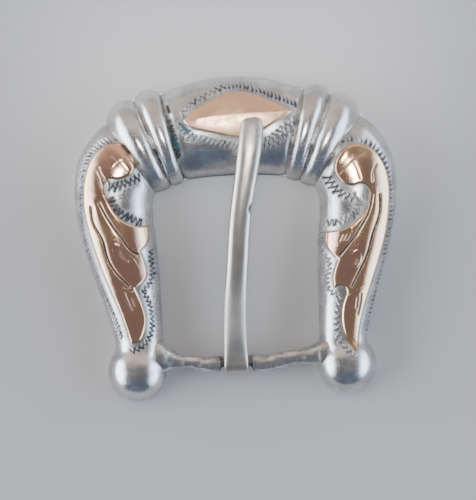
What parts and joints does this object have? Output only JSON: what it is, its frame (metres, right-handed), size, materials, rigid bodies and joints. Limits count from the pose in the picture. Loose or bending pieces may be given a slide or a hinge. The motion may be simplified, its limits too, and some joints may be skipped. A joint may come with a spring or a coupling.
{
  "type": "belt buckle",
  "caption": "Horseshoe-shaped belt buckle with a domed silver frame, ribbed collars, gold leaf overlays, ball-ended arms and a swinging tongue on a cast cross bar.",
  "frame": {"origin": "centre of the buckle's outline, on its flat back", "axes": "+X across the strap to the right arm, +Y from the cross bar to the crown, +Z out of the decorated front"},
  "size_m": [0.042, 0.0418, 0.0076],
  "materials": {
    "silver": "polished nickel silver with a dark patina in its engraving",
    "plate_silver": "plain satin nickel silver",
    "cast_silver": "bright, uneven cast nickel silver",
    "gold": "polished rose gold with cut veins"
  },
  "bodies": {
    "frame": {"back_plate": "plate_silver", "crown_shell": "silver", "left_inner_collar": "silver", "right_inner_collar": "silver", "left_outer_collar": "silver", "right_outer_collar": "silver", "left_arm_shell": "silver", "right_arm_shell": "silver", "crown_overlay": "gold", "left_arm_overlay": "gold", "right_arm_overlay": "gold", "cross_bar": "cast_silver", "left_bar_lug": "cast_silver", "right_bar_lug": "cast_silver"},
    "tongue": {"tongue": "silver"}
  },
  "joints": [
    {"name": "tongue_swing", "type": "hinge", "parent": "frame", "child": "tongue", "pos_m": [-0.00075, -0.01625, 0.002], "axis": [1, 0, 0], "range_deg": [0, 170]}
  ]
}
